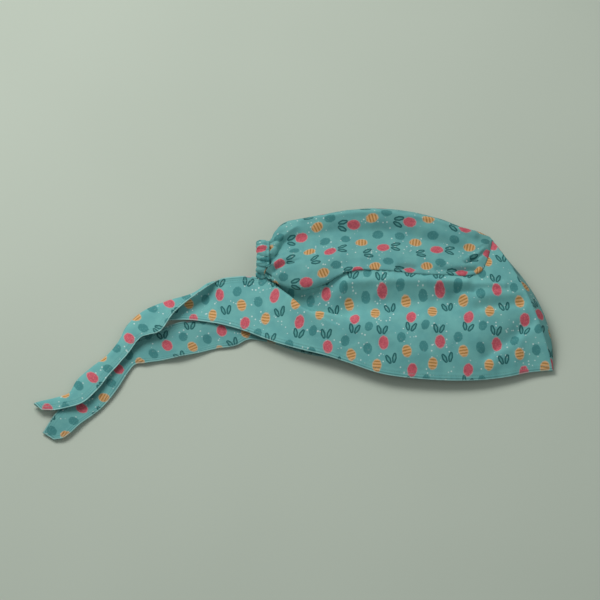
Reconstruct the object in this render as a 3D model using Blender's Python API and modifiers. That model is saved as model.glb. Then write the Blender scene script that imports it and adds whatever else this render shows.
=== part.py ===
"""A surgical scrub cap with two ties, lying on its side, in metres with +Z up.

The forehead points along +X and the top of the crown along +Y. The cap rests on the
wearer's left panel, so the right panel and the crown face up. X is measured from the
back edge of the band, Y from the lowest point of the near rim, and Z from the ground.
"""
import bpy
import numpy as np

# Driving sizes
CAP_LENGTH = 0.288
CAP_DEPTH = 0.185
CAP_HEIGHT = 0.050
TIE_REACH = 0.230
TIE_DROP = 0.180
TIE_LIFT = 0.020
CLOTH = 0.0010
CASING_WALL = 0.0020
CASING_WIDTH = 0.0120
SEAM_GAP = 0.0009
CASING_GAP = 0.0018
GATHER_COUNT = 15
GATHER_HEIGHT = 0.0007

# Where the middle of the whole outline lies, from the back edge and the lowest rim
MIDDLE_X = 0.0299
MIDDLE_Y = 0.0608

# The tie leaves the band at this height above the lowest rim
TIE_ROOT_Y = 0.612 * CAP_DEPTH

# Grid cells along and across each sheet
RIGHT_CELLS = (72, 14)
LEFT_CELLS = (58, 9)
CROWN_CELLS = (36, 36)
CASING_CELLS = (4, 60)

# Upper band: one row a section, from the back edge to the centre front seam.
# rim along, rim deep, rim high, seam along, seam deep, seam high, bow along, bow high
BAND_SECTIONS = (
    (0.000, 0.265, 0.18, 0.000, 0.612, 0.36, 0.000, 0.02),
    (0.073, 0.216, 0.22, 0.073, 0.540, 0.50, 0.000, 0.03),
    (0.142, 0.181, 0.24, 0.142, 0.506, 0.60, 0.000, 0.05),
    (0.212, 0.149, 0.25, 0.212, 0.512, 0.76, 0.000, 0.06),
    (0.288, 0.105, 0.25, 0.288, 0.553, 0.94, 0.000, 0.06),
    (0.403, 0.038, 0.24, 0.403, 0.558, 1.00, 0.000, 0.08),
    (0.524, 0.010, 0.22, 0.524, 0.537, 1.00, 0.000, 0.09),
    (0.653, 0.000, 0.20, 0.632, 0.532, 0.98, 0.002, 0.10),
    (0.750, 0.008, 0.17, 0.708, 0.537, 0.94, 0.006, 0.12),
    (0.837, 0.031, 0.14, 0.753, 0.571, 0.90, 0.012, 0.15),
    (0.917, 0.064, 0.11, 0.778, 0.665, 0.82, 0.019, 0.18),
    (1.000, 0.082, 0.08, 0.792, 0.799, 0.70, 0.026, 0.21),
)
BAND_BEND = 0.44

# Upper tie: one row a section, from the tip to the band; it is folded along its length.
# edge out, down, lift; fold out, down, lift; hem out, down, lift; how far it is folded
UPPER_TIE_SECTIONS = (
    (0.965, 0.786, 0.15, 0.991, 0.758, 0.225, 0.957, 0.803, 0.325, 1.0),
    (0.878, 0.781, 0.17, 0.896, 0.729, 0.275, 0.874, 0.800, 0.375, 1.0),
    (0.791, 0.736, 0.17, 0.839, 0.702, 0.300, 0.783, 0.763, 0.400, 1.0),
    (0.739, 0.659, 0.17, 0.809, 0.630, 0.325, 0.722, 0.686, 0.400, 1.0),
    (0.678, 0.558, 0.20, 0.739, 0.534, 0.325, 0.665, 0.582, 0.425, 1.0),
    (0.617, 0.436, 0.20, 0.678, 0.465, 0.350, 0.592, 0.463, 0.475, 1.0),
    (0.574, 0.366, 0.20, 0.630, 0.382, 0.350, 0.542, 0.368, 0.525, 1.0),
    (0.513, 0.289, 0.20, 0.587, 0.266, 0.350, 0.496, 0.340, 0.575, 1.0),
    (0.452, 0.237, 0.20, 0.513, 0.178, 0.375, 0.445, 0.318, 0.650, 1.0),
    (0.383, 0.226, 0.22, 0.417, 0.122, 0.400, 0.385, 0.200, 0.700, 1.0),
    (0.313, 0.226, 0.22, 0.309, 0.077, 0.450, 0.275, 0.074, 0.750, 1.0),
    (0.226, 0.244, 0.25, 0.222, 0.018, 0.650, 0.200, 0.010, 0.800, 0.6),
    (0.170, 0.266, 0.35, 0.170, 0.128, 0.600, 0.170, -0.008, 0.800, 0.0),
    (0.083, 0.306, 0.40, 0.083, 0.152, 0.675, 0.083, -0.013, 0.880, 0.0),
)

# Lower tie, flat on the ground: one row a section, from the tip to the band.
# outer edge out, outer edge down, inner edge out, inner edge down
LOWER_TIE_SECTIONS = (
    (0.900, 0.980, 0.951, 0.934),
    (0.861, 0.972, 0.917, 0.856),
    (0.783, 0.878, 0.870, 0.772),
    (0.700, 0.783, 0.809, 0.678),
    (0.630, 0.658, 0.748, 0.567),
    (0.587, 0.556, 0.687, 0.472),
    (0.557, 0.504, 0.626, 0.383),
    (0.513, 0.496, 0.530, 0.317),
    (0.452, 0.483, 0.452, 0.283),
    (0.383, 0.468, 0.365, 0.233),
    (0.287, 0.436, 0.283, 0.217),
    (0.209, 0.403, 0.209, 0.189),
    (0.122, 0.383, 0.130, 0.117),
    (0.061, 0.342, 0.061, 0.039),
)

# Lower band on the ground: one row a section, from the back edge round to the front.
# rim along, rim deep, seam along, seam deep, seam high, bow along, bow high
LOWER_BAND_SECTIONS = (
    (0.000, 0.271, 0.000, 0.601, 0.00, 0.000, 0.00),
    (0.125, 0.203, 0.125, 0.585, 0.00, 0.000, 0.00),
    (0.250, 0.158, 0.250, 0.563, 0.00, 0.000, 0.00),
    (0.400, 0.098, 0.400, 0.558, 0.00, 0.000, 0.00),
    (0.550, 0.071, 0.540, 0.563, 0.00, 0.000, 0.00),
    (0.700, 0.066, 0.640, 0.592, 0.00, 0.006, 0.00),
    (0.820, 0.074, 0.705, 0.655, 0.00, 0.018, 0.00),
    (0.910, 0.082, 0.748, 0.735, 0.00, 0.038, 0.00),
    (0.972, 0.085, 0.777, 0.800, 0.06, 0.060, 0.00),
    (0.996, 0.086, 0.789, 0.812, 0.30, 0.063, 0.14),
)

# Crown: one row a section, from the casing to the front point.
# along the seam, top along, top deep, top high, lip over the band, crest rise
CROWN_SECTIONS = (
    (0.000, 0.024, 0.846, 0.70, 0.008, 0.26),
    (0.065, 0.066, 0.928, 0.80, 0.022, 0.32),
    (0.150, 0.142, 0.958, 0.88, 0.024, 0.34),
    (0.240, 0.212, 0.974, 0.95, 0.013, 0.24),
    (0.340, 0.288, 0.986, 1.00, 0.004, 0.12),
    (0.470, 0.403, 0.997, 1.00, 0.000, 0.09),
    (0.610, 0.524, 0.972, 1.00, 0.000, 0.09),
    (0.735, 0.622, 0.926, 0.97, 0.000, 0.09),
    (0.820, 0.680, 0.885, 0.93, 0.003, 0.09),
    (0.880, 0.715, 0.862, 0.89, 0.004, 0.07),
    (0.950, 0.752, 0.838, 0.82, 0.000, 0.04),
    (1.000, 0.785, 0.814, 0.72, 0.000, 0.02),
)
# The crown stops this share along the seams, where they close to a point.
CROWN_END = 0.980

# Crown's ring from the near seam to the top. Shares of the way to the top along and deep,
# of the lip, of the crest's rise, and of the way from the crest's height to the top's.
# along, deep, lip, rise, height
CROWN_NEAR_RING = (
    (0.00, 0.00, 0.0, 0.00, 0.0),
    (0.03, 0.00, 1.0, 0.45, 0.0),
    (0.12, 0.12, 0.5, 1.00, 0.0),
    (0.50, 0.50, 0.0, 1.00, 0.5),
    (1.00, 0.86, 0.0, 1.00, 1.0),
)
# Crown's ring from the top to the far seam. Shares of the way to the far seam along and
# deep, and of the top's height above it.
# along, deep, height
CROWN_FAR_RING = (
    (0.00, 0.00, 0.55),
    (0.05, 0.06, 0.08),
    (0.22, 0.22, 0.00),
    (0.60, 0.60, 0.00),
    (1.00, 1.00, 0.00),
)

# How much of a sheet a fold takes to die away towards its edges, its back and its front
EDGE_FADE = 0.12
BACK_FADE = 0.04
FRONT_FADE = 0.02
CROWN_FRONT_FADE = 0.10
# Crown folds start at the first of these shares of the height, and are full at the second.
CROWN_FOLD_HEIGHTS = (0.3, 0.6)

# Folds in the upper cloth: a line from one end to the other, its width and its height.
# from along, from deep, to along, to deep, width, height
BAND_FOLDS = (
    (0.030, 0.530, 0.260, 0.310, 0.032, 0.06),
    (0.150, 0.480, 0.290, 0.370, 0.045, -0.14),
    (0.260, 0.450, 0.600, 0.460, 0.040, -0.08),
    (0.600, 0.430, 0.690, 0.380, 0.040, -0.05),
    (0.680, 0.415, 0.870, 0.420, 0.030, 0.04),
    (0.690, 0.355, 0.880, 0.360, 0.030, -0.05),
    (0.915, 0.290, 0.778, 0.140, 0.040, -0.05),
)
CROWN_FOLDS = (
    (0.100, 0.820, 0.420, 0.875, 0.034, -0.11),
    (0.420, 0.875, 0.700, 0.730, 0.036, -0.12),
    (0.028, 0.612, 0.108, 0.653, 0.014, -0.07),
    (0.024, 0.640, 0.108, 0.690, 0.012, 0.05),
    (0.024, 0.690, 0.090, 0.790, 0.016, -0.07),
    (0.120, 0.760, 0.300, 0.700, 0.040, 0.04),
    (0.330, 0.640, 0.560, 0.640, 0.045, 0.04),
)

# Casing: where its back edge and its top lie
CASING_BACK = -0.022 * CAP_LENGTH
CASING_TOP_Y = 0.838 * CAP_DEPTH
CASING_HEIGHT = 0.68 * CAP_HEIGHT
CASING_BULGE = 0.0012
# Casing's ring between its two ends. Share of the way to the top deep, share of its height.
CASING_RING = (
    (0.15, 0.78),
    (0.55, 1.00),
    (0.85, 0.97),
    (1.00, 0.55),
    (0.92, 0.10),
    (0.65, 0.00),
)

# How strongly a folded tie pulls its edges towards the fold
FOLD_PULL = 1.2
# Points on a fine curve before it is divided evenly
FINE_STEPS = 400


def blend(low, high, share):
    """The value between low and high."""
    return low + (high - low) * share


def through(knots, values, at):
    """Values on a smooth curve that passes through every row."""
    step = np.diff(knots)[:, None]
    slope = np.diff(values, axis=0) / step
    inner = (slope[:-1] * step[1:] + slope[1:] * step[:-1]) / (step[:-1] + step[1:])
    tangent = np.vstack([slope[:1], inner, slope[-1:]])
    row = np.clip(np.searchsorted(knots, at, side="right") - 1, 0, len(knots) - 2)
    width = step[row]
    share = (at - knots[row])[:, None] / width
    square = share * share
    cube = square * share
    start = values[row] * (2 * cube - 3 * square + 1)
    start = start + tangent[row] * width * (cube - 2 * square + share)
    end = values[row + 1] * (3 * square - 2 * cube)
    end = end + tangent[row + 1] * width * (cube - square)
    return start + end


def travelled(points):
    """The length along a chain of points, at each of them."""
    steps = np.linalg.norm(np.diff(points, axis=0), axis=1)
    return np.concatenate([[0.0], np.cumsum(steps)])


def on_cap(along, deep, high):
    """A point given as shares of the cap's length, depth and height."""
    return np.array([along * CAP_LENGTH, deep * CAP_DEPTH, high * CAP_HEIGHT])


def on_tie(out, down, lift):
    """A point given as shares of the tie's reach, drop and lift."""
    return np.array([-out * TIE_REACH, TIE_ROOT_Y - down * TIE_DROP, lift * TIE_LIFT])


def section(edge, middle, far, bend, fold):
    """One section as a row: its three points, where it bends, how far it is folded."""
    return np.concatenate([edge, middle, far, [bend, fold]])


def band_section(rim, seam, bow_along, bow_high):
    """A section of a band, bowed away from the straight line."""
    bow = on_cap(bow_along, 0.0, bow_high)
    return section(rim, blend(rim, seam, BAND_BEND) + bow, seam, BAND_BEND, 0.0)


def right_rows():
    """Sections of the right panel from the tip of its tie to the front."""
    rows = []
    for row in UPPER_TIE_SECTIONS:
        edge = on_tie(*row[0:3])
        middle = on_tie(*row[3:6])
        hem = on_tie(*row[6:9])
        near = np.linalg.norm(middle - edge)
        bend = near / (near + np.linalg.norm(hem - middle))
        rows.append(section(edge, middle, hem, bend, row[9]))
    for row in BAND_SECTIONS:
        rows.append(band_section(on_cap(*row[0:3]), on_cap(*row[3:6]), row[6], row[7]))
    return np.array(rows)


def left_rows():
    """Sections of the left panel from the tip of its tie round to the front."""
    rows = []
    for row in LOWER_TIE_SECTIONS:
        outer = on_tie(row[0], row[1], 0.0)
        inner = on_tie(row[2], row[3], 0.0)
        rows.append(section(outer, blend(outer, inner, BAND_BEND), inner, BAND_BEND, 0.0))
    for row in LOWER_BAND_SECTIONS:
        rim = on_cap(row[0], row[1], 0.0)
        seam = on_cap(row[2], row[3], row[4])
        rows.append(band_section(rim, seam, row[5], row[6]))
    front = BAND_SECTIONS[-1]
    drop = np.array([0.0, 0.0, -(CLOTH + SEAM_GAP)])
    rim = on_cap(*front[0:3]) + drop
    seam = on_cap(*front[3:6]) + drop
    rows.append(band_section(rim, seam, front[6], front[7]))
    return np.array(rows)


def across(rows, share):
    """Points on sections, share 0 at the edge and 1 at the seam or hem."""
    edge = rows[:, 0:3]
    middle = rows[:, 3:6]
    far = rows[:, 6:9]
    bend = rows[:, 9:10]
    fold = np.clip(rows[:, 10:11], 0.0, 1.0)
    share = share[:, None]
    near_slope = (middle - edge) / bend
    far_slope = (far - middle) / (1.0 - bend)
    flat_slope = near_slope * (1.0 - bend) + far_slope * bend
    turn = np.array([0.0, 0.0, 1.0]) * np.linalg.norm(far_slope, axis=1)[:, None]
    middle_slope = blend(flat_slope, turn, fold)
    edge_slope = blend(2.0 * near_slope - flat_slope, FOLD_PULL * near_slope, fold)
    end_slope = blend(2.0 * far_slope - flat_slope, FOLD_PULL * far_slope, fold)
    first = share < bend
    width = np.where(first, bend, 1.0 - bend)
    part = np.where(first, share / bend, (share - bend) / (1.0 - bend))
    start = np.where(first, edge, middle)
    end = np.where(first, middle, far)
    start_slope = np.where(first, edge_slope, middle_slope) * width
    stop_slope = np.where(first, middle_slope, end_slope) * width
    square = part * part
    cube = square * part
    point = start * (2 * cube - 3 * square + 1) + end * (3 * square - 2 * cube)
    return point + start_slope * (cube - 2 * square + part) + stop_slope * (cube - square)


def relief(points, folds, weight):
    """Points raised or sunk along the folds."""
    raised = points.copy()
    for x0, y0, x1, y1, width, height in folds:
        start = on_cap(x0, y0, 0.0)[:2]
        line = on_cap(x1, y1, 0.0)[:2] - start
        offset = points[:, :2] - start
        share = np.clip(offset @ line / (line @ line), 0.0, 1.0)
        away = np.linalg.norm(offset - share[:, None] * line, axis=1)
        fall = np.exp(-((away / (width * CAP_DEPTH)) ** 2))
        raised[:, 2] += height * CAP_HEIGHT * fall * weight
    return raised


def knots_of(rows):
    """How far along a panel each of its sections lies, from 0 to 1."""
    length = travelled(rows[:, 3:6])
    return length / length[-1]


RIGHT_ROWS = right_rows()
RIGHT_KNOTS = knots_of(RIGHT_ROWS)
LEFT_ROWS = left_rows()
LEFT_KNOTS = knots_of(LEFT_ROWS)


def right_panel(along, share):
    """Outer face of the right panel with its tie."""
    points = across(through(RIGHT_KNOTS, RIGHT_ROWS, along), share)
    on_band = np.clip(points[:, 0] / (BACK_FADE * CAP_LENGTH), 0.0, 1.0)
    rim_fade = np.clip(share / EDGE_FADE, 0.0, 1.0) * np.clip((1.0 - share) / EDGE_FADE, 0.0, 1.0)
    front_fade = np.clip((1.0 - along) / FRONT_FADE, 0.0, 1.0)
    return relief(points, BAND_FOLDS, on_band * rim_fade * front_fade)


def left_panel(along, share):
    """Outer face of the left panel with its tie, on the ground."""
    points = across(through(LEFT_KNOTS, LEFT_ROWS, along), share)
    points[:, 2] = np.maximum(points[:, 2], 0.0)
    return points


def seam_line(panel, knots, first, at):
    """Points on a panel's seam, from the casing to the front, evenly spaced."""
    fine = np.linspace(knots[first], 1.0, FINE_STEPS)
    line = panel(fine, np.ones_like(fine))
    line = line[line[:, 0] > CASING_BACK + CASING_WIDTH + 0.5 * SEAM_GAP]
    return spaced(line, at * CROWN_END)


def spaced(line, share):
    """Points at these shares of the length of a line."""
    length = travelled(line)
    return np.stack([np.interp(share * length[-1], length, line[:, k]) for k in range(3)], axis=1)


def smooth_ring(ring):
    """A fine smooth line through the points of a ring."""
    knots = travelled(ring)
    return through(knots, ring, np.linspace(0.0, knots[-1], FINE_STEPS))


def crown_rings(at):
    """The crown's sections, each a ring of points from the near seam to the far seam."""
    table = np.array(CROWN_SECTIONS)
    row = through(table[:, 0], table[:, 1:], at)
    near = seam_line(right_panel, RIGHT_KNOTS, len(UPPER_TIE_SECTIONS), at)
    far = seam_line(left_panel, LEFT_KNOTS, len(LOWER_TIE_SECTIONS), at)
    top = row[:, 0:3] * np.array([CAP_LENGTH, CAP_DEPTH, CAP_HEIGHT])
    lip = row[:, 3] * CAP_DEPTH
    rise = row[:, 4] * CAP_HEIGHT
    rings = []
    for along, deep, lip_share, rise_share, height in CROWN_NEAR_RING:
        x = blend(near[:, 0], top[:, 0], along)
        y = blend(near[:, 1], top[:, 1], deep) - lip_share * lip
        z = blend(near[:, 2] + rise_share * rise, top[:, 2], height)
        rings.append(np.stack([x, y, z], axis=1))
    for along, deep, height in CROWN_FAR_RING:
        x = blend(top[:, 0], far[:, 0], along)
        y = blend(top[:, 1], far[:, 1], deep)
        z = blend(far[:, 2], top[:, 2], height)
        rings.append(np.stack([x, y, z], axis=1))
    return np.stack(rings, axis=1)


def crown(along, share):
    """Outer face of the crown, from the near seam over the top to the far seam."""
    stations, which = np.unique(along, return_inverse=True)
    points = np.empty((len(along), 3))
    for index, ring in enumerate(crown_rings(stations)):
        line = smooth_ring(ring)
        picked = which == index
        inset = SEAM_GAP / travelled(line)[-1]
        points[picked] = spaced(line, blend(inset, 1.0 - inset, share[picked]))
    low, full = CROWN_FOLD_HEIGHTS
    upper = np.clip((points[:, 2] / CAP_HEIGHT - low) / (full - low), 0.0, 1.0)
    front_fade = np.clip((1.0 - along) / CROWN_FRONT_FADE, 0.0, 1.0)
    points = relief(points, CROWN_FOLDS, upper * front_fade)
    points[:, 2] = np.maximum(points[:, 2], 0.0)
    return points


def casing(along, share):
    """Outer face of the gathered casing, from its near end over the top to its far end."""
    near_y = TIE_ROOT_Y + CASING_GAP
    far_y = LOWER_BAND_SECTIONS[0][3] * CAP_DEPTH + CASING_GAP
    ring = [(0.0, near_y, BAND_SECTIONS[0][5] * CAP_HEIGHT)]
    for deep, height in CASING_RING:
        ring.append((0.0, blend(near_y, CASING_TOP_Y, deep), height * CASING_HEIGHT))
    ring.append((0.0, far_y, 0.0))
    points = spaced(smooth_ring(np.array(ring)), share)
    middle = np.array([0.0, blend(near_y, CASING_TOP_Y, 0.5), 0.5 * CASING_HEIGHT])
    away = points - middle
    away = away / np.linalg.norm(away, axis=1)[:, None]
    gather = np.sin(2.0 * np.pi * GATHER_COUNT * share) * np.sin(np.pi * share)
    out = CASING_BULGE * np.sin(np.pi * along) + GATHER_HEIGHT * gather
    points = points + away * out[:, None]
    points[:, 0] = CASING_BACK + along * CASING_WIDTH
    points[:, 2] = np.maximum(points[:, 2], 0.0)
    return points


def cloth_material(name, colour, roughness):
    """A plain cloth material."""
    material = bpy.data.materials.new(name)
    material.use_nodes = True
    shader = material.node_tree.nodes["Principled BSDF"]
    shader.inputs["Base Color"].default_value = colour
    shader.inputs["Roughness"].default_value = roughness
    shader.inputs["Metallic"].default_value = 0.0
    material.diffuse_color = colour
    return material


def sheet(name, shape, cells, wall, inward, material, collection):
    """A sheet of cloth: a grid laid over the shape and given its thickness."""
    bpy.ops.mesh.primitive_grid_add(x_subdivisions=cells[0], y_subdivisions=cells[1], size=1.0)
    sheet_object = bpy.context.object
    sheet_object.name = name
    sheet_object.data.name = name
    mesh = sheet_object.data
    flat = np.empty(len(mesh.vertices) * 3)
    mesh.vertices.foreach_get("co", flat)
    flat = flat.reshape(-1, 3)
    along = np.round(np.clip(flat[:, 0] + 0.5, 0.0, 1.0), 6)
    share = np.round(np.clip(flat[:, 1] + 0.5, 0.0, 1.0), 6)
    points = shape(along, share) - np.array([MIDDLE_X, MIDDLE_Y, 0.0])
    mesh.vertices.foreach_set("co", points.ravel())
    mesh.update()
    for polygon in mesh.polygons:
        polygon.use_smooth = True
    thickness = sheet_object.modifiers.new("thickness", "SOLIDIFY")
    thickness.thickness = wall
    thickness.offset = inward
    thickness.use_even_offset = False
    thickness.use_quality_normals = True
    mesh.materials.append(material)
    for owner in list(sheet_object.users_collection):
        owner.objects.unlink(sheet_object)
    collection.objects.link(sheet_object)
    return sheet_object


def build():
    """Clear the scene and make the cap."""
    for old in list(bpy.data.objects):
        bpy.data.objects.remove(old, do_unlink=True)
    collection = bpy.data.collections.new("scrub_cap")
    bpy.context.scene.collection.children.link(collection)
    band = cloth_material("band_cloth", (0.12, 0.38, 0.35, 1.0), 0.85)
    lower = cloth_material("lower_cloth", (0.11, 0.35, 0.33, 1.0), 0.85)
    top = cloth_material("crown_cloth", (0.13, 0.40, 0.37, 1.0), 0.85)
    gathered = cloth_material("casing_cloth", (0.09, 0.32, 0.32, 1.0), 0.88)
    sheet("right_panel", right_panel, RIGHT_CELLS, CLOTH, -1.0, band, collection)
    sheet("left_panel", left_panel, LEFT_CELLS, CLOTH, 1.0, lower, collection)
    sheet("crown", crown, CROWN_CELLS, CLOTH, -1.0, top, collection)
    sheet("back_casing", casing, CASING_CELLS, CASING_WALL, -1.0, gathered, collection)


build()
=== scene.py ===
import math
import bpy
import numpy as np
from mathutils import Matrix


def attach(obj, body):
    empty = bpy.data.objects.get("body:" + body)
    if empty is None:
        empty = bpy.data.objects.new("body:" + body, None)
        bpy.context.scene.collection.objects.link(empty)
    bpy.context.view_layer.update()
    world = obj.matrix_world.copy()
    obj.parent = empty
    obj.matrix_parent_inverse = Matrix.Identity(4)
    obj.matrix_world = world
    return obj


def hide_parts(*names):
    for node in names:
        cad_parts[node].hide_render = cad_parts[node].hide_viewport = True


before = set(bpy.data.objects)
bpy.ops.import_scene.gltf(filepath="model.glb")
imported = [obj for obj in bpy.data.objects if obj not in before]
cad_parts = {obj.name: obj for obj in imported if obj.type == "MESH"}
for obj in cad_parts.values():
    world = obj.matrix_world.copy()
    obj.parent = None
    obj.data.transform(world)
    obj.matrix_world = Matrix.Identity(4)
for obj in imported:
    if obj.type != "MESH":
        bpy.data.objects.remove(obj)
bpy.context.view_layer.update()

# Sizes, in metres
CAP_LENGTH = 0.288
CAP_DEPTH = 0.185
CAP_HEIGHT = 0.050
TIE_REACH = 0.230
TIE_DROP = 0.180
TIE_LIFT = 0.020
CLOTH = 0.0009
CASING_WALL = 0.0016
CASING_WIDTH = 0.0130
CASING_GAP = 0.0006
SEAM_GAP = 0.0002
MIDDLE_X = 0.0299
MIDDLE_Y = 0.0608
TIE_ROOT_Y = 0.612 * CAP_DEPTH
HEM_WIDTH = 0.0055

RIGHT_CELLS = (500, 92)
LEFT_CELLS = (400, 76)
CROWN_CELLS = (215, 215)
CASING_CELLS = (22, 340)

# rim along, rim deep, rim high, seam along, seam deep, seam high, bow along, bow high
BAND_SECTIONS = (
    (0.000, 0.265, 0.18, 0.000, 0.612, 0.36, 0.000, 0.02),
    (0.073, 0.216, 0.22, 0.073, 0.540, 0.50, 0.000, 0.03),
    (0.142, 0.181, 0.24, 0.142, 0.506, 0.60, 0.000, 0.05),
    (0.212, 0.149, 0.25, 0.212, 0.512, 0.76, 0.000, 0.06),
    (0.288, 0.105, 0.25, 0.288, 0.553, 0.94, 0.000, 0.06),
    (0.403, 0.038, 0.24, 0.403, 0.558, 1.00, 0.000, 0.08),
    (0.524, 0.010, 0.22, 0.524, 0.537, 1.00, 0.000, 0.09),
    (0.653, 0.000, 0.20, 0.632, 0.532, 0.98, 0.002, 0.10),
    (0.750, 0.008, 0.17, 0.708, 0.537, 0.94, 0.006, 0.12),
    (0.837, 0.031, 0.14, 0.753, 0.571, 0.90, 0.012, 0.15),
    (0.917, 0.064, 0.11, 0.778, 0.665, 0.82, 0.019, 0.18),
    (1.000, 0.082, 0.08, 0.792, 0.799, 0.70, 0.026, 0.21),
)
BAND_BEND = 0.44

# edge out, down, lift; fold out, down, lift; hem out, down, lift; how far it is folded
UPPER_TIE_SECTIONS = (
    (0.965, 0.786, 0.15, 0.991, 0.758, 0.225, 0.957, 0.803, 0.325, 1.0),
    (0.878, 0.781, 0.17, 0.896, 0.729, 0.275, 0.874, 0.800, 0.375, 1.0),
    (0.791, 0.736, 0.17, 0.839, 0.702, 0.300, 0.783, 0.763, 0.400, 1.0),
    (0.739, 0.659, 0.17, 0.809, 0.630, 0.325, 0.722, 0.686, 0.400, 1.0),
    (0.678, 0.558, 0.20, 0.739, 0.534, 0.325, 0.665, 0.582, 0.425, 1.0),
    (0.617, 0.436, 0.20, 0.678, 0.465, 0.350, 0.592, 0.463, 0.475, 1.0),
    (0.574, 0.366, 0.20, 0.630, 0.382, 0.350, 0.542, 0.368, 0.525, 1.0),
    (0.513, 0.289, 0.20, 0.587, 0.266, 0.350, 0.496, 0.340, 0.575, 1.0),
    (0.452, 0.237, 0.20, 0.513, 0.178, 0.375, 0.445, 0.318, 0.650, 1.0),
    (0.383, 0.226, 0.22, 0.417, 0.122, 0.400, 0.385, 0.200, 0.700, 1.0),
    (0.313, 0.226, 0.22, 0.309, 0.077, 0.450, 0.275, 0.074, 0.750, 1.0),
    (0.226, 0.244, 0.25, 0.222, 0.018, 0.650, 0.200, 0.010, 0.800, 0.6),
    (0.170, 0.266, 0.35, 0.170, 0.128, 0.600, 0.170, -0.008, 0.800, 0.0),
    (0.083, 0.306, 0.40, 0.083, 0.152, 0.675, 0.083, -0.013, 0.880, 0.0),
)

# outer edge out, outer edge down, inner edge out, inner edge down
LOWER_TIE_SECTIONS = (
    (0.900, 0.980, 0.951, 0.934),
    (0.861, 0.972, 0.917, 0.856),
    (0.783, 0.878, 0.870, 0.772),
    (0.700, 0.783, 0.809, 0.678),
    (0.630, 0.658, 0.748, 0.567),
    (0.587, 0.556, 0.687, 0.472),
    (0.557, 0.504, 0.626, 0.383),
    (0.513, 0.496, 0.530, 0.317),
    (0.452, 0.483, 0.452, 0.283),
    (0.383, 0.468, 0.365, 0.233),
    (0.287, 0.436, 0.283, 0.217),
    (0.209, 0.403, 0.209, 0.189),
    (0.122, 0.383, 0.130, 0.117),
    (0.061, 0.342, 0.061, 0.039),
)

# rim along, rim deep, seam along, seam deep, seam high, bow along, bow high
LOWER_BAND_SECTIONS = (
    (0.000, 0.271, 0.000, 0.601, 0.00, 0.000, 0.00),
    (0.125, 0.203, 0.125, 0.585, 0.00, 0.000, 0.00),
    (0.250, 0.158, 0.250, 0.563, 0.00, 0.000, 0.00),
    (0.400, 0.098, 0.400, 0.558, 0.00, 0.000, 0.00),
    (0.550, 0.071, 0.540, 0.563, 0.00, 0.000, 0.00),
    (0.700, 0.066, 0.640, 0.592, 0.00, 0.006, 0.00),
    (0.820, 0.074, 0.705, 0.655, 0.00, 0.018, 0.00),
    (0.910, 0.082, 0.748, 0.735, 0.00, 0.038, 0.00),
    (0.972, 0.085, 0.777, 0.800, 0.06, 0.060, 0.00),
    (0.996, 0.086, 0.789, 0.812, 0.30, 0.063, 0.14),
)

# along the seam, top along, top deep, top high, lip over the band, crest rise
CROWN_SECTIONS = (
    (0.000, 0.024, 0.846, 0.70, 0.008, 0.26),
    (0.065, 0.066, 0.928, 0.80, 0.022, 0.32),
    (0.150, 0.142, 0.958, 0.88, 0.024, 0.34),
    (0.240, 0.212, 0.974, 0.95, 0.013, 0.24),
    (0.340, 0.288, 0.986, 1.00, 0.003, 0.08),
    (0.470, 0.403, 0.997, 1.00, 0.000, 0.02),
    (0.610, 0.524, 0.972, 1.00, 0.000, 0.02),
    (0.735, 0.622, 0.926, 0.97, 0.001, 0.05),
    (0.820, 0.680, 0.885, 0.93, 0.004, 0.08),
    (0.880, 0.715, 0.862, 0.89, 0.002, 0.05),
    (0.950, 0.752, 0.838, 0.82, 0.000, 0.04),
    (1.000, 0.785, 0.814, 0.72, 0.000, 0.02),
)
CROWN_END = 0.995
CROWN_NEAR_RING = (
    (0.00, 0.00, 0.0, 0.00, 0.0),
    (0.03, 0.00, 1.0, 0.45, 0.0),
    (0.12, 0.12, 0.5, 1.00, 0.0),
    (0.50, 0.50, 0.0, 1.00, 0.5),
    (1.00, 0.86, 0.0, 1.00, 1.0),
)
CROWN_FAR_RING = (
    (0.00, 0.00, 0.55),
    (0.05, 0.06, 0.08),
    (0.22, 0.22, 0.00),
    (0.60, 0.60, 0.00),
    (1.00, 1.00, 0.00),
)

# A crease: its points (along, deep), its width below it, its width above it, its height at
# the first point, its height at the last, and how far it leans over. Widths and leans are
# shares of the cap's depth, heights shares of its height.
BAND_CREASES = (
    (((0.310, 0.410), (0.480, 0.400), (0.640, 0.410)), 0.100, 0.060, -0.17, -0.16, 0.0),
    (((0.280, 0.500), (0.500, 0.498), (0.700, 0.495)), 0.020, 0.030, 0.05, 0.05, 0.0),
    (((0.600, 0.485), (0.720, 0.485), (0.830, 0.500)), 0.014, 0.022, 0.05, 0.04, 0.0),
    (((0.640, 0.466), (0.680, 0.462), (0.725, 0.450)), 0.012, 0.010, -0.05, -0.04, 0.0),
    (((0.000, 0.600), (0.070, 0.486), (0.130, 0.388), (0.240, 0.290)),
     0.050, 0.010, 0.09, 0.03, 0.014),
    (((0.030, 0.585), (0.090, 0.482), (0.150, 0.398), (0.280, 0.345)),
     0.012, 0.075, -0.17, -0.08, 0.0),
    (((0.740, 0.365), (0.810, 0.385), (0.890, 0.415)), 0.024, 0.030, -0.05, -0.05, 0.0),
    (((0.750, 0.420), (0.810, 0.440), (0.890, 0.470)), 0.022, 0.024, 0.03, 0.02, 0.0),
    (((0.920, 0.310), (0.860, 0.235), (0.770, 0.130)), 0.040, 0.030, -0.08, -0.08, 0.0),
    (((0.655, 0.440), (0.690, 0.370), (0.710, 0.290)), 0.030, 0.050, -0.08, -0.04, 0.0),
    (((0.004, 0.560), (0.000, 0.440), (0.006, 0.320)), 0.012, 0.022, -0.05, -0.03, 0.0),
    (((0.300, 0.300), (0.420, 0.230), (0.520, 0.110)), 0.050, 0.060, 0.04, 0.04, 0.0),
    (((0.550, 0.290), (0.640, 0.210), (0.680, 0.110)), 0.040, 0.050, 0.04, 0.03, 0.0),
)
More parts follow.
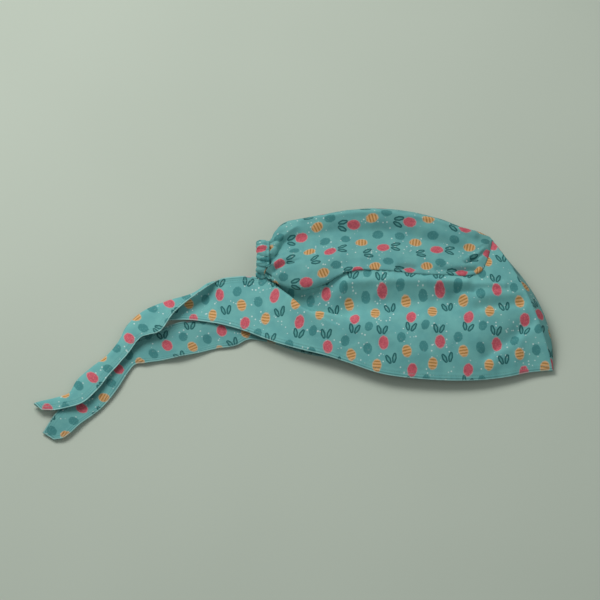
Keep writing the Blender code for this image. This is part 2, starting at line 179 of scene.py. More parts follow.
CROWN_CREASES = (
    (((0.070, 0.780), (0.250, 0.815), (0.450, 0.815), (0.690, 0.700)),
     0.130, 0.045, -0.13, -0.14, 0.0),
    (((0.130, 0.895), (0.400, 0.920), (0.600, 0.870), (0.730, 0.790)),
     0.020, 0.025, 0.05, 0.05, 0.0),
    (((0.026, 0.632), (0.060, 0.660), (0.110, 0.680)), 0.012, 0.020, 0.08, 0.02, 0.004),
    (((0.026, 0.608), (0.065, 0.630), (0.130, 0.645)), 0.018, 0.010, -0.10, -0.03, 0.0),
    (((0.026, 0.680), (0.045, 0.720), (0.070, 0.790)), 0.014, 0.016, -0.11, -0.05, 0.0),
    (((0.026, 0.720), (0.050, 0.790), (0.110, 0.850)), 0.016, 0.014, 0.06, 0.03, 0.0),
    (((0.700, 0.618), (0.735, 0.646), (0.760, 0.690)), 0.009, 0.014, -0.07, -0.04, 0.0),
    (((0.706, 0.645), (0.740, 0.672), (0.762, 0.712)), 0.012, 0.012, 0.05, 0.03, 0.0),
    (((0.470, 0.572), (0.495, 0.578), (0.520, 0.572)), 0.010, 0.022, -0.08, -0.08, 0.0),
    (((0.540, 0.650), (0.620, 0.630), (0.690, 0.590)), 0.030, 0.030, 0.03, 0.04, 0.0),
    (((0.600, 0.565), (0.660, 0.562), (0.730, 0.575)), 0.010, 0.016, -0.04, -0.09, 0.0),
)

CASING_BACK = -0.026 * CAP_LENGTH
CASING_TOP_Y = 0.822 * CAP_DEPTH
CASING_HEIGHT = 0.66 * CAP_HEIGHT
CASING_BULGE = 0.0014
CASING_GROOVE = 0.0008
GROOVE_PLACE = 0.78
GROOVE_WIDTH = 0.06
SCALLOP = 0.0020
GATHER_COUNT = 20.0
GATHER_HEIGHT = 0.0024
GATHER_MIDDLE = 0.55
# deep, high: shares of the way to the casing's top and of its height
CASING_RING = (
    (0.15, 0.78),
    (0.55, 1.00),
    (0.85, 0.97),
    (1.00, 0.55),
    (0.92, 0.10),
    (0.65, 0.00),
)
PLEAT_HEIGHT = 0.0026
PINCH = 0.0040
SEAM_ROLL = 0.0007
FRONT_ROLL = 0.0016
TUCK = 0.0014
HEM_RISE = 0.00040
HEM_SLOPE = 0.0012
STITCH_DIP = 0.00030
STITCH_PLACE = 0.82 * HEM_WIDTH
STITCH_WIDTH = 0.0008
PUCKER_SPACING = 0.0085
HEM_PUCKER = 0.00022
SEAM_PUCKER = 0.00030
GRAIN_LEVEL = 0.40 * CAP_DEPTH
TIE_GRAIN = 0.39
CROWN_GRAIN = 0.22
LEFT_PRINT_SHIFT = (0.019, 0.011)
CROWN_FRONT_FADE = 0.10
CROWN_FOLD_HEIGHTS = (0.3, 0.6)
FOLD_PULL = 1.2
FINE_STEPS = 500
EDGE_STEPS = (0.3, 0.3, 0.4, 0.6, 0.8)
EASE_CELL = 6
EASE_ROUNDS = 900
EASE_STEP = 1.5

# Soft creases all over: wavelength, height, how sharp the ridges are
RUMPLES = (
    (0.055, 0.0010, 0.0),
    (0.032, 0.0010, 1.0),
    (0.015, 0.00042, 0.7),
    (0.007, 0.00016, 0.3),
)


def blend(low, high, share):
    return low + (high - low) * share


def through(knots, values, at):
    """Values on a smooth curve that passes through every row."""
    step = np.diff(knots)[:, None]
    slope = np.diff(values, axis=0) / step
    inner = (slope[:-1] * step[1:] + slope[1:] * step[:-1]) / (step[:-1] + step[1:])
    tangent = np.vstack([slope[:1], inner, slope[-1:]])
    row = np.clip(np.searchsorted(knots, at, side="right") - 1, 0, len(knots) - 2)
    width = step[row]
    share = (at - knots[row])[:, None] / width
    square = share * share
    cube = square * share
    start = values[row] * (2 * cube - 3 * square + 1)
    start = start + tangent[row] * width * (cube - 2 * square + share)
    end = values[row + 1] * (3 * square - 2 * cube)
    end = end + tangent[row + 1] * width * (cube - square)
    return start + end


def travelled(points):
    steps = np.linalg.norm(np.diff(points, axis=0), axis=1)
    return np.concatenate([[0.0], np.cumsum(steps)])


def on_cap(along, deep, high):
    return np.array([along * CAP_LENGTH, deep * CAP_DEPTH, high * CAP_HEIGHT])


def on_tie(out, down, lift):
    return np.array([-out * TIE_REACH, TIE_ROOT_Y - down * TIE_DROP, lift * TIE_LIFT])


def section(edge, middle, far, bend, fold):
    return np.concatenate([edge, middle, far, [bend, fold]])


def band_section(rim, seam, bow_along, bow_high):
    bow = on_cap(bow_along, 0.0, bow_high)
    return section(rim, blend(rim, seam, BAND_BEND) + bow, seam, BAND_BEND, 0.0)


def right_rows():
    rows = []
    for row in UPPER_TIE_SECTIONS:
        edge = on_tie(*row[0:3])
        middle = on_tie(*row[3:6])
        hem = on_tie(*row[6:9])
        near = np.linalg.norm(middle - edge)
        bend = near / (near + np.linalg.norm(hem - middle))
        rows.append(section(edge, middle, hem, bend, row[9]))
    for row in BAND_SECTIONS:
        rows.append(band_section(on_cap(*row[0:3]), on_cap(*row[3:6]), row[6], row[7]))
    return np.array(rows)


def left_rows():
    rows = []
    for row in LOWER_TIE_SECTIONS:
        outer = on_tie(row[0], row[1], 0.0)
        inner = on_tie(row[2], row[3], 0.0)
        rows.append(section(outer, blend(outer, inner, BAND_BEND), inner, BAND_BEND, 0.0))
    for row in LOWER_BAND_SECTIONS:
        rim = on_cap(row[0], row[1], 0.0)
        seam = on_cap(row[2], row[3], row[4])
        rows.append(band_section(rim, seam, row[5], row[6]))
    front = BAND_SECTIONS[-1]
    drop = np.array([0.0, 0.0, -CLOTH])
    rim = on_cap(*front[0:3]) + drop
    seam = on_cap(*front[3:6]) + drop
    rows.append(band_section(rim, seam, front[6], front[7]))
    return np.array(rows)


def across(rows, share):
    """Points on sections, share 0 at the edge and 1 at the seam or hem."""
    edge = rows[:, 0:3]
    middle = rows[:, 3:6]
    far = rows[:, 6:9]
    bend = rows[:, 9:10]
    fold = np.clip(rows[:, 10:11], 0.0, 1.0)
    share = share[:, None]
    near_slope = (middle - edge) / bend
    far_slope = (far - middle) / (1.0 - bend)
    flat_slope = near_slope * (1.0 - bend) + far_slope * bend
    turn = np.array([0.0, 0.0, 1.0]) * np.linalg.norm(far_slope, axis=1)[:, None]
    middle_slope = blend(flat_slope, turn, fold)
    edge_slope = blend(2.0 * near_slope - flat_slope, FOLD_PULL * near_slope, fold)
    end_slope = blend(2.0 * far_slope - flat_slope, FOLD_PULL * far_slope, fold)
    first = share < bend
    width = np.where(first, bend, 1.0 - bend)
    part = np.where(first, share / bend, (share - bend) / (1.0 - bend))
    start = np.where(first, edge, middle)
    end = np.where(first, middle, far)
    start_slope = np.where(first, edge_slope, middle_slope) * width
    stop_slope = np.where(first, middle_slope, end_slope) * width
    square = part * part
    cube = square * part
    point = start * (2 * cube - 3 * square + 1) + end * (3 * square - 2 * cube)
    return point + start_slope * (cube - 2 * square + part) + stop_slope * (cube - square)


def crease_move(points, creases):
    """How far each point is moved by the creases, across and up."""
    moved = np.zeros((len(points), 3))
    for line, below, above, first, last, lean in creases:
        route = np.array([on_cap(x, y, 0.0)[:2] for x, y in line])
        length = travelled(route)
        nearest = np.full(len(points), 1.0)
        side = np.zeros(len(points))
        place = np.zeros(len(points))
        toward = np.zeros((len(points), 2))
        for k in range(len(route) - 1):
            run = route[k + 1] - route[k]
            offset = points[:, :2] - route[k]
            share = np.clip(offset @ run / (run @ run), 0.0, 1.0)
            away = np.linalg.norm(offset - share[:, None] * run, axis=1)
            closer = away < nearest
            turn = (run[0] * offset[:, 1] - run[1] * offset[:, 0]) / np.linalg.norm(run)
            spot = (length[k] + share * (length[k + 1] - length[k])) / length[-1]
            nearest = np.where(closer, away, nearest)
            side = np.where(closer, turn / np.maximum(away, 1e-9), side)
            place = np.where(closer, spot, place)
            left = np.array([-run[1], run[0]]) / np.linalg.norm(run)
            toward = np.where(closer[:, None], left, toward)
        width = CAP_DEPTH * blend(below, above, 0.5 + 0.5 * np.clip(side, -1.0, 1.0))
        fall = np.exp(-((nearest / width) ** 2))
        moved[:, 2] += CAP_HEIGHT * blend(first, last, place) * fall
        moved[:, :2] += toward * (lean * CAP_DEPTH * (1.0 - place) * fall)[:, None]
    return moved


def knots_of(rows):
    length = travelled(rows[:, 3:6])
    return length / length[-1]


RIGHT_ROWS = right_rows()
RIGHT_KNOTS = knots_of(RIGHT_ROWS)
LEFT_ROWS = left_rows()
LEFT_KNOTS = knots_of(LEFT_ROWS)


def right_panel(along, share):
    return across(through(RIGHT_KNOTS, RIGHT_ROWS, along), share)


def left_panel(along, share):
    points = across(through(LEFT_KNOTS, LEFT_ROWS, along), share)
    points[:, 2] = np.maximum(points[:, 2], 0.0)
    return points


def spaced(line, share):
    length = travelled(line)
    return np.stack([np.interp(share * length[-1], length, line[:, k]) for k in range(3)], axis=1)


def seam_line(panel, knots, first, at):
    fine = np.linspace(knots[first], 1.0, FINE_STEPS)
    line = panel(fine, np.ones_like(fine))
    line = line[line[:, 0] > CASING_BACK + CASING_WIDTH - SEAM_GAP]
    return spaced(line, at * CROWN_END)


def smooth_ring(ring):
    knots = travelled(ring)
    return through(knots, ring, np.linspace(0.0, knots[-1], FINE_STEPS))


def crown_rings(at):
    table = np.array(CROWN_SECTIONS)
    row = through(table[:, 0], table[:, 1:], at)
    near = seam_line(right_panel, RIGHT_KNOTS, len(UPPER_TIE_SECTIONS), at)
    far = seam_line(left_panel, LEFT_KNOTS, len(LOWER_TIE_SECTIONS), at)
    top = row[:, 0:3] * np.array([CAP_LENGTH, CAP_DEPTH, CAP_HEIGHT])
    lip = row[:, 3] * CAP_DEPTH
    rise = row[:, 4] * CAP_HEIGHT
    rings = []
    for along, deep, lip_share, rise_share, height in CROWN_NEAR_RING:
        x = blend(near[:, 0], top[:, 0], along)
        y = blend(near[:, 1], top[:, 1], deep) - lip_share * lip
        z = blend(near[:, 2] + rise_share * rise, top[:, 2], height)
        rings.append(np.stack([x, y, z], axis=1))
    for along, deep, height in CROWN_FAR_RING:
        x = blend(top[:, 0], far[:, 0], along)
        y = blend(top[:, 1], far[:, 1], deep)
        z = blend(far[:, 2], top[:, 2], height)
        rings.append(np.stack([x, y, z], axis=1))
    return np.stack(rings, axis=1)


def crown(along, share):
    stations, which = np.unique(along, return_inverse=True)
    points = np.empty((len(along), 3))
    order = np.argsort(which, kind="stable")
    edges = np.searchsorted(which[order], np.arange(len(stations) + 1))
    for index, ring in enumerate(crown_rings(stations)):
        line = smooth_ring(ring)
        picked = order[edges[index]:edges[index + 1]]
        points[picked] = spaced(line, share[picked])
    low, full = CROWN_FOLD_HEIGHTS
    upper = np.clip((points[:, 2] / CAP_HEIGHT - low) / (full - low), 0.0, 1.0)
    front_fade = np.clip((1.0 - along) / CROWN_FRONT_FADE, 0.0, 1.0)
    points += crease_move(points, CROWN_CREASES) * (upper * front_fade)[:, None]
    points[:, 2] = np.maximum(points[:, 2], 0.0)
    return points


def gathers(share, slant):
    """Rounded lobes with sharp creases between them, from 0 to about 1."""
    phase = share * GATHER_COUNT + 0.30 * np.sin(11.0 * share + 1.3) + 0.14 * np.sin(37.0 * share)
    lobe = np.abs(np.sin(np.pi * (phase + slant))) ** 0.75
    return lobe * (0.75 + 0.35 * rumple(share * 9.0, 0.0 * share, 8.0))


def casing(along, share):
    near_y = TIE_ROOT_Y + CASING_GAP
    far_y = LOWER_BAND_SECTIONS[0][3] * CAP_DEPTH + CASING_GAP
    ring = [(0.0, near_y, BAND_SECTIONS[0][5] * CAP_HEIGHT)]
    for deep, height in CASING_RING:
        ring.append((0.0, blend(near_y, CASING_TOP_Y, deep), height * CASING_HEIGHT))
    ring.append((0.0, far_y, 0.0))
    points = spaced(smooth_ring(np.array(ring)), share)
    middle = np.array([0.0, blend(near_y, CASING_TOP_Y, 0.5), 0.5 * CASING_HEIGHT])
    away = points - middle
    away = away / np.linalg.norm(away, axis=1)[:, None]
    slant = 0.45 * rumple(share * 13.0, along * 1.2, 5.0) * (1.0 - along)
    lobe = gathers(share, slant) - GATHER_MIDDLE
    fine = 0.16 * rumple(share * 60.0, along * 3.0, 2.0)
    groove = -CASING_GROOVE * np.exp(-(((along - GROOVE_PLACE) / GROOVE_WIDTH) ** 2))
    out = CASING_BULGE * np.sin(np.pi * along) ** 0.7 + groove
    out = out + GATHER_HEIGHT * (lobe + fine) * blend(1.0, 0.8, along)
    points = points + away * out[:, None]
    scallop = SCALLOP * lobe * (1.0 - along) ** 2
    points[:, 0] = CASING_BACK + along * CASING_WIDTH - scallop
    points[:, 2] = np.maximum(points[:, 2], 0.0)
    return points


def lattice_value(x, y, seed):
    """A steady random number from 0 to 1 for each whole point."""
    number = np.sin(x * 127.1 + y * 311.7 + seed * 74.7) * 43758.5453
    return number - np.floor(number)


def rumple(u, v, seed):
    """Smooth noise from -1 to 1."""
    x0, y0 = np.floor(u), np.floor(v)
    fx, fy = u - x0, v - y0
    fx = fx * fx * fx * (fx * (6 * fx - 15) + 10)
    fy = fy * fy * fy * (fy * (6 * fy - 15) + 10)
    low = blend(lattice_value(x0, y0, seed), lattice_value(x0 + 1, y0, seed), fx)
    high = blend(lattice_value(x0, y0 + 1, seed), lattice_value(x0 + 1, y0 + 1, seed), fx)
    return 2.0 * blend(low, high, fy) - 1.0


def grid_normals(grid):
    du = np.gradient(grid, axis=0)
    dv = np.gradient(grid, axis=1)
    normal = np.cross(du, dv)
    return normal / np.maximum(np.linalg.norm(normal, axis=2), 1e-12)[:, :, None]


def wrinkles(cloth, seed):
    """Height of the soft creases that cover the cloth."""
    out = np.zeros(cloth.shape[:2])
    for number, (wave, height, sharp) in enumerate(RUMPLES):
        turn = 0.5 + 0.9 * number
        x = cloth[:, :, 0] * math.cos(turn) + cloth[:, :, 1] * math.sin(turn)
        y = cloth[:, :, 1] * math.cos(turn) - cloth[:, :, 0] * math.sin(turn)
        bent = 0.35 * rumple(x / wave + 4.1, y / wave + 9.2, seed + 20.0)
        u = x / wave * 0.75 + bent + 11.3 * number
        noise = rumple(u, y / wave + bent + 5.7, seed + number)
        ridge = 0.55 - 1.3 * np.sqrt(noise * noise + 0.006)
        out += height * blend(noise, ridge, sharp)
    return out


def pucker(length, distance, reach, height, seed):
    """Small waves where cloth is drawn in along a line of stitching."""
    phase = length / PUCKER_SPACING + 1.3 * rumple(length / 0.021, 0.0 * length, seed)
    size = 0.6 + 0.6 * rumple(length / 0.034, 0.0 * length, seed + 3.0)
    return height * size * np.sin(2.0 * np.pi * phase) * np.exp(-distance / reach)


def cloth_map(grid, datum, by_plan):
    """Place in the cloth of each point of a grid, in metres, along and across the grain."""
    count, width = grid.shape[:2]
    cloth = np.zeros((count, width, 2))
    place = np.clip((datum * (width - 1)).round().astype(int), 1, width - 2)
    line = grid[np.arange(count), place]
    step = np.diff(line, axis=0)
    plan = by_plan[:-1]
    straight = np.sqrt(step[:, 0] ** 2 + step[:, 2] ** 2)
    full = np.linalg.norm(step, axis=1)
    start = np.concatenate([[0.0], np.cumsum(blend(full, straight, plan))])
    rows = np.diff(grid, axis=1)
    dx = rows[:, :, 0] * by_plan[:, None]
    total = np.linalg.norm(rows, axis=2)
    dy = np.sqrt(np.maximum(total ** 2 - dx ** 2, 0.0))
    x = np.concatenate([np.zeros((count, 1)), np.cumsum(dx, axis=1)], axis=1)
    y = np.concatenate([np.zeros((count, 1)), np.cumsum(dy, axis=1)], axis=1)
    base = np.arange(count)
    cloth[:, :, 0] = start[:, None] + x - x[base, place][:, None]
    cloth[:, :, 1] = y - y[base, place][:, None]
    return cloth


def eased(cloth, grid):
    """Let the flat layout slip until its lengths agree with those of the curved sheet."""
    picks = [np.unique(np.append(np.arange(0, n, EASE_CELL), n - 1)) for n in grid.shape[:2]]
    across_run, _, along_run, _ = run_across(grid)
    du = np.gradient(grid, axis=0)
    dv = np.gradient(grid, axis=1)
    lean = (du * dv).sum(axis=2) / (np.linalg.norm(du, axis=2) * np.linalg.norm(dv, axis=2))
    coarse = np.ix_(*picks)
    flat = cloth[coarse].copy()
    high = np.diff(across_run[coarse], axis=1)
    long = np.diff(along_run[coarse], axis=0)
    corner = lean[coarse]
    corner = 0.25 * (corner[1:, 1:] + corner[:-1, 1:] + corner[1:, :-1] + corner[:-1, :-1])
    tall = 0.5 * (high[1:] + high[:-1])
    wide = 0.5 * (long[:, 1:] + long[:, :-1])
    square = tall ** 2 + wide ** 2
    slant = 2.0 * tall * wide * corner
    now, low, nigh = slice(1, None), slice(None, -1), slice(None)
    springs = (
        ((low, nigh), (now, nigh), long),
        ((nigh, low), (nigh, now), high),
        ((low, low), (now, now), np.sqrt(square + slant)),
        ((now, low), (low, now), np.sqrt(square - slant)),
    )
    count = np.zeros(flat.shape[:2])
    for first, second, length in springs:
        count[first] += 1.0
        count[second] += 1.0
    for _ in range(EASE_ROUNDS):
        push = np.zeros_like(flat)
        for first, second, length in springs:
            gap = flat[second] - flat[first]
            size = np.maximum(np.linalg.norm(gap, axis=2), 1e-9)
            pull = gap * (0.5 * (1.0 - length / size))[:, :, None]
            push[first] += pull
            push[second] -= pull
        flat += EASE_STEP * push / count[:, :, None]
    knots, other = [pick.astype(float) for pick in picks]
    rows = through(knots, flat.reshape(len(knots), -1), np.arange(grid.shape[0]))
    rows = rows.reshape(grid.shape[0], len(other), 2).transpose(1, 0, 2)
    both = through(other, rows.reshape(len(other), -1), np.arange(grid.shape[1]))
    return both.reshape(grid.shape[1], grid.shape[0], 2).transpose(1, 0, 2)


def run_across(grid):
    """How far each point lies from the two long edges and the two ends, in metres."""
    rows = np.linalg.norm(np.diff(grid, axis=1), axis=2)
    y = np.concatenate([np.zeros((len(grid), 1)), np.cumsum(rows, axis=1)], axis=1)
    steps = np.linalg.norm(np.diff(grid, axis=0), axis=2)
    x = np.concatenate([np.zeros((1, grid.shape[1])), np.cumsum(steps, axis=0)], axis=0)
    return y, y[:, -1:] - y, x, x[-1:] - x


def band_datum(grid, by_plan):
    """Share across each section at which the straight grain runs."""
    width = grid.shape[1] - 1
    datum = np.argmin(np.abs(grid[:, :, 1] - GRAIN_LEVEL), axis=1) / width
    return blend(TIE_GRAIN, datum, by_plan)


def lay_sheet(name, cells, grid, cloth, hem, wall, inward):
    """A sheet of cloth on a grid of points, with its print and hem coordinates."""
    bpy.ops.object.select_all(action="DESELECT")
    bpy.ops.mesh.primitive_grid_add(x_subdivisions=cells[0], y_subdivisions=cells[1], size=1.0)
    piece = bpy.context.object
    piece.name = name
    mesh = piece.data
    mesh.name = name
    flat = np.empty(len(mesh.vertices) * 3)
    mesh.vertices.foreach_get("co", flat)
    flat = flat.reshape(-1, 3)
    i = np.round((flat[:, 0] + 0.5) * cells[0]).astype(int)
    j = np.round((flat[:, 1] + 0.5) * cells[1]).astype(int)
    points = grid[i, j] - np.array([MIDDLE_X, MIDDLE_Y, 0.0])
    mesh.vertices.foreach_set("co", points.ravel())
    corner = np.empty(len(mesh.loops), dtype=np.int64)
    mesh.loops.foreach_get("vertex_index", corner)
    while mesh.uv_layers:
        mesh.uv_layers.remove(mesh.uv_layers[0])
    for layer_name, source in (("print", cloth), ("hem", hem)):
        layer = mesh.uv_layers.new(name=layer_name)
        layer.data.foreach_set("uv", source[i, j][corner].astype(np.float32).ravel())
    mesh.update()
    bpy.context.view_layer.objects.active = piece
    thickness = piece.modifiers.new("thickness", "SOLIDIFY")
    thickness.thickness = wall
    thickness.offset = inward
    thickness.use_even_offset = False
    bpy.ops.object.modifier_apply(modifier=thickness.name)
    mesh = piece.data
    flat = np.empty(len(mesh.vertices) * 3)
    mesh.vertices.foreach_get("co", flat)
    flat[2::3] = np.maximum(flat[2::3], 0.0)
    mesh.vertices.foreach_set("co", flat)
    mesh.polygons.foreach_set("use_smooth", [True] * len(mesh.polygons))
    mesh.update()
    return piece


def spread(count):
    """Shares from 0 to 1, closer together at the two ends."""
    steps = np.ones(count)
    steps[:len(EDGE_STEPS)] = EDGE_STEPS
    steps[-len(EDGE_STEPS):] = EDGE_STEPS[::-1]
    share = np.concatenate([[0.0], np.cumsum(steps)])
    return share / share[-1]


def laid(shape, cells):
    """Points of a sheet on a grid, and the shares along and across."""
    along, share = np.meshgrid(spread(cells[0]), spread(cells[1]), indexing="ij")
    points = shape(along.ravel(), share.ravel())
    return points.reshape(cells[0] + 1, cells[1] + 1, 3), along, share


def area_of(grid):
    du = np.diff(grid, axis=0)[:, :-1]
    dv = np.diff(grid, axis=1)[:-1]
    return float(np.linalg.norm(np.cross(du, dv), axis=2).sum())


def hem_profile(distance):
    """Height of a turned hem over the single cloth, with the dip along its stitching."""
    thick = HEM_RISE * (1.0 - np.clip((distance - HEM_WIDTH) / HEM_SLOPE, 0.0, 1.0))
    stitch = -STITCH_DIP * np.exp(-(((distance - STITCH_PLACE) / STITCH_WIDTH) ** 2))
    return thick + stitch


def rolled(distance, radius):
    """Height of an edge that is turned under in a seam."""
    share = np.clip(1.0 - distance / radius, 0.0, 1.0)
    return -radius * (1.0 - np.sqrt(1.0 - share ** 2))


def tucked(grid, weight):
    """The last row across, carried on under the piece that it is sewn to."""
    run = grid[:, -1] - grid[:, -2]
    run = run / np.linalg.norm(run, axis=1)[:, None] * TUCK - np.array([0.0, 0.0, 0.4 * TUCK])
    grid[:, -1] += run * weight[:, None]


def fade(distance, start, end):
    share = np.clip((distance - start) / (end - start), 0.0, 1.0)
    return share * share * (3.0 - 2.0 * share)


def build_right():
    grid, along, share = laid(right_panel, RIGHT_CELLS)
    root = RIGHT_KNOTS[len(UPPER_TIE_SECTIONS)]
    body = fade(along, root - 0.01, root + 0.02)
    by_plan = np.clip(1.0 + grid[:, grid.shape[1] // 2, 0] / 0.02, 0.0, 1.0)
    cloth = eased(cloth_map(grid, band_datum(grid, by_plan), by_plan), grid)
    rim, seam, tip, front = run_across(grid)
    weight = fade(rim, 0.0, 0.018) * fade(seam, 0.0, 0.004) * fade(front, 0.0, 0.010) * body
    creased = crease_move(grid.reshape(-1, 3), BAND_CREASES).reshape(grid.shape)
    grid = grid + creased * weight[:, :, None]
    free_top = along < root - 0.006
    top_hem = np.where(free_top, seam, 1.0)
    hem_distance = np.minimum(np.minimum(rim, top_hem), tip)
    weight = blend(0.30, 1.0, fade(np.minimum(rim, seam), 0.0, 0.014)) * fade(front, 0.0, 0.015)
    out = wrinkles(cloth, 3.0) * weight * blend(0.45, 1.0, body)
    out = out + pucker(cloth[:, :, 0], hem_distance, 0.005, HEM_PUCKER, 41.0)
    out = out + pucker(cloth[:, :, 0], seam, 0.006, SEAM_PUCKER, 47.0) * body
    out = out + hem_profile(hem_distance) + rolled(front, FRONT_ROLL)
    grid = grid + grid_normals(grid) * out[:, :, None]
    tucked(grid, body[:, -1])
    hem = np.stack([cloth[:, :, 0], hem_distance], axis=2)
    piece = lay_sheet("right_side_panel", RIGHT_CELLS, grid, cloth, hem, CLOTH, -1.0)
    return piece, area_of(grid)


def build_left():
    grid, along, share = laid(left_panel, LEFT_CELLS)
    by_plan = np.clip(1.0 + grid[:, grid.shape[1] // 2, 0] / 0.02, 0.0, 1.0)
    cloth = eased(cloth_map(grid, band_datum(grid, by_plan), by_plan), grid)
    rim, seam, tip, _ = run_across(grid)
    root = LEFT_KNOTS[len(LOWER_TIE_SECTIONS)]
    free_top = along < root - 0.01
    hem_distance = np.minimum(np.minimum(rim, np.where(free_top, seam, 1.0)), tip)
    lift = lower_lift(grid, share, fade(root - along, 0.0, 0.05))
    lift = lift + 0.5 * np.abs(wrinkles(cloth, 29.0)) * free_top
    lift = lift + np.maximum(hem_profile(hem_distance), -0.0002) + 0.0002
    grid[:, :, 2] += lift
    run = grid[-1] - grid[-2]
    run = run / np.maximum(np.linalg.norm(run, axis=1), 1e-9)[:, None]
    grid[-1] += run * TUCK - np.array([0.0, 0.0, 0.6 * TUCK])
    cloth[:, :, 0] += LEFT_PRINT_SHIFT[0]
    cloth[:, :, 1] += LEFT_PRINT_SHIFT[1]
    hem = np.stack([cloth[:, :, 0], hem_distance], axis=2)
    piece = lay_sheet("left_side_panel", LEFT_CELLS, grid, cloth, hem, CLOTH, 1.0)
    return piece, area_of(grid)


def lower_lift(grid, share, tie):
    """Small lifts of the lower tie off the ground, so that it isn't ironed flat."""
    x, y = grid[:, :, 0], grid[:, :, 1]
    bend = on_tie(0.560, 0.44, 0.0)
    crease = np.exp(-(((x - bend[0]) * 0.55 + (y - bend[1]) * 0.83) / 0.006) ** 2)
    waves = 0.0008 * (1.0 + np.sin(x / 0.013 + y / 0.021))
    waves = waves + 0.0004 * (1.0 + np.sin(x / 0.006 - y / 0.009))
    edge = 0.0010 * np.clip(1.0 - share / 0.15, 0.0, 1.0) ** 2 * (1.0 + np.sin(x / 0.017))
    return tie * (waves + 0.0018 * crease + edge)


def build_crown():
    grid, _, share = laid(crown, CROWN_CELLS)
    cloth = eased(cloth_map(grid, np.full(len(grid), CROWN_GRAIN), np.ones(len(grid))), grid)
    near, far, back, front = run_across(grid)
    weight = blend(0.25, 1.0, fade(np.minimum(near, far), 0.0, 0.012)) * fade(front, 0.0, 0.02)
    weight = weight * fade(grid[:, :, 2], 0.0, 0.02)
    out = 1.2 * wrinkles(cloth, 17.0) * weight
    out = out + pleats(share, back)
    out = out + pucker(cloth[:, :, 0], near, 0.006, SEAM_PUCKER, 53.0)
    under = 1.0 - fade(back, 0.0, 0.007)
    dip = rolled(near, SEAM_ROLL) + rolled(far, SEAM_ROLL) - PINCH * under
    out = out + dip * fade(grid[:, :, 2], 0.0, 0.004)
    grid = grid + grid_normals(grid) * out[:, :, None]
    grid[:, :, 0] -= 0.7 * PINCH * under
    grid[:, :, 2] = np.maximum(grid[:, :, 2], 0.0)
    turned = np.stack([-cloth[:, :, 1], cloth[:, :, 0]], axis=2)
    hem = np.stack([cloth[:, :, 0], np.ones_like(near)], axis=2)
    piece = lay_sheet("crown_panel", CROWN_CELLS, grid, turned, hem, CLOTH, -1.0)
    return piece, area_of(grid)


def pleats(share, back):
    """Pleats that run from the gathered casing and die away over the crown."""
    reach = 0.010 + 0.006 * rumple(share * 14.0, 0.0 * share, 12.0)
    slant = 0.5 * rumple(share * 8.0, back / 0.02, 15.0) * np.clip(back / 0.01, 0.0, 1.0)
    return PLEAT_HEIGHT * (gathers(share, slant) - GATHER_MIDDLE) * np.exp(-back / reach)


def build_casing():
    grid, along, _ = laid(casing, CASING_CELLS)
    total = np.linalg.norm(np.diff(grid, axis=1), axis=2)
    y = np.concatenate([np.zeros((len(grid), 1)), np.cumsum(total, axis=1)], axis=1)
    x = along * CASING_WIDTH
    cloth = np.stack([1.25 * y + 0.021, 0.016 - x], axis=2)
    hem = np.stack([y, np.ones_like(y)], axis=2)
    piece = lay_sheet("gathered_casing", CASING_CELLS, grid, cloth, hem, CASING_WALL, -1.0)
    return piece, area_of(grid)


class Value:
    """A number in a shader, with ordinary arithmetic."""

    def __init__(self, tree, socket):
        self.tree = tree
        self.socket = socket

    def calc(self, operation, *others):
        node = self.tree.nodes.new("ShaderNodeMath")
        node.operation = operation
        for slot, item in zip(node.inputs, (self,) + others):
            if isinstance(item, Value):
                self.tree.links.new(item.socket, slot)
            else:
                slot.default_value = item
        return Value(self.tree, node.outputs[0])

    def __add__(self, other):
        return self.calc("ADD", other)

    __radd__ = __add__

    def __sub__(self, other):
        return self.calc("SUBTRACT", other)

    def __rsub__(self, other):
        return self.calc("MULTIPLY", -1.0).calc("ADD", other)

    def __mul__(self, other):
        return self.calc("MULTIPLY", other)

    __rmul__ = __mul__

    def step(self, start, end):
        """0 at start and 1 at end, smooth between."""
        node = self.tree.nodes.new("ShaderNodeMapRange")
        node.interpolation_type = "SMOOTHSTEP"
        self.tree.links.new(self.socket, node.inputs["Value"])
        node.inputs["From Min"].default_value = start
        node.inputs["From Max"].default_value = end
        return Value(self.tree, node.outputs["Result"])


class Shader:
    """A material's nodes."""

    def __init__(self, name):
        self.material = bpy.data.materials.new(name)
        self.material.use_nodes = True
        self.tree = self.material.node_tree
        self.surface = self.tree.nodes["Principled BSDF"]

    def node(self, kind, settings=None, inputs=None, output=0):
        made = self.tree.nodes.new(kind)
        for key, value in (settings or {}).items():
            setattr(made, key, value)
        for key, value in (inputs or {}).items():
            if isinstance(value, Value):
                self.tree.links.new(value.socket, made.inputs[key])
            else:
                made.inputs[key].default_value = value
        return Value(self.tree, made.outputs[output])

    def vector(self, operation, *items, output=0):
        inputs = {number: item for number, item in enumerate(items)}
        return self.node("ShaderNodeVectorMath", {"operation": operation}, inputs, output)

    def mix(self, factor, first, second):
        inputs = {0: factor, 6: first, 7: second}
        return self.node("ShaderNodeMix", {"data_type": "RGBA"}, inputs, 2)

    def feed(self, socket, value):
        if isinstance(value, Value):
            self.tree.links.new(value.socket, self.surface.inputs[socket])
        else:
            self.surface.inputs[socket].default_value = value


def rgb(red, green, blue):
    """A colour as seen on screen, 0 to 255, turned linear."""
    shares = [channel / 255.0 for channel in (red, green, blue)]
    return tuple(((c + 0.055) / 1.055) ** 2.4 if c > 0.04 else c / 12.92 for c in shares) + (1.0,)


# Repeat of the print, in millimetres
REPEAT = (57.0, 54.0)
